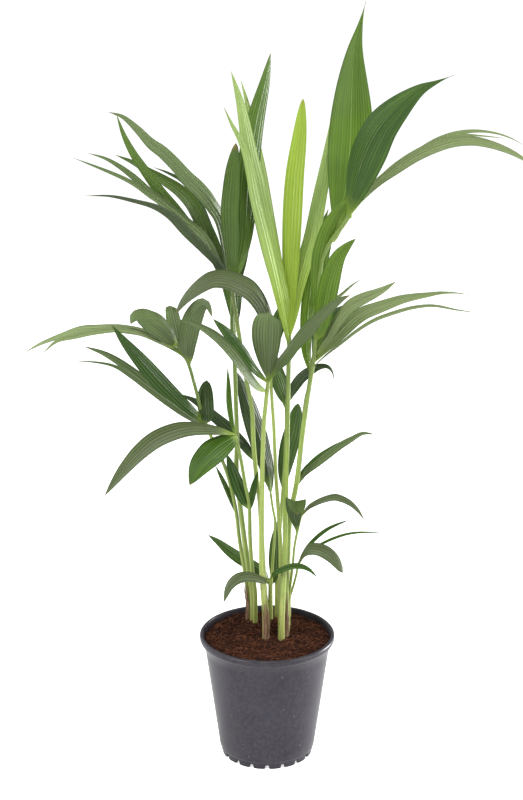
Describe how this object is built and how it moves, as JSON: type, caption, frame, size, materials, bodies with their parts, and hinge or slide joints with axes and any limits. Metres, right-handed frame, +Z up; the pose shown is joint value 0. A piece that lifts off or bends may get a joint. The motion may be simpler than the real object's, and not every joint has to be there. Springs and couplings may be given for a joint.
{
  "type": "potted palm",
  "caption": "Young kentia-type palm, a clump of slender upright fronds with long pointed leaflets, in a round tapered dark nursery pot with soil.",
  "frame": {"origin": "centre of the pot's underside, on the surface that its feet stand on, in the middle of the plant's spread within a few millimetres", "axes": "+Z up; the front view looks along +Y, with +X to the right; the tallest frond leans towards +X"},
  "size_m": [0.6885, 0.3349, 1.0642],
  "materials": {
    "pot_plastic": "satin dark grey, moulded",
    "soil": "matte fibrous potting soil",
    "leaf_deep": "dark green leaf with a soft sheen",
    "leaf_mid": "green leaf with a soft sheen",
    "leaf_fresh": "young yellow-green leaf with a soft sheen",
    "husk": "matte dry brown fibre"
  },
  "bodies": {
    "root": {"pot": "pot_plastic", "soil": "soil", "frond_upper_left": "leaf_deep", "frond_upright": "leaf_deep", "frond_young": "leaf_fresh", "frond_tall_right": "leaf_mid", "frond_front": "leaf_mid", "frond_arching": "leaf_mid", "frond_left": "leaf_mid", "frond_low_left": "leaf_mid", "frond_back_slender": "leaf_deep", "frond_back_middle": "leaf_deep", "frond_small_right": "leaf_mid", "frond_low_right": "leaf_mid", "frond_lowest_right": "leaf_mid", "frond_low_front": "leaf_mid", "frond_low_back": "leaf_deep", "frond_rear_left": "leaf_deep", "frond_rear_right": "leaf_deep", "husk_left": "husk", "husk_centre": "husk", "husk_right": "husk"}
  },
  "joints": []
}
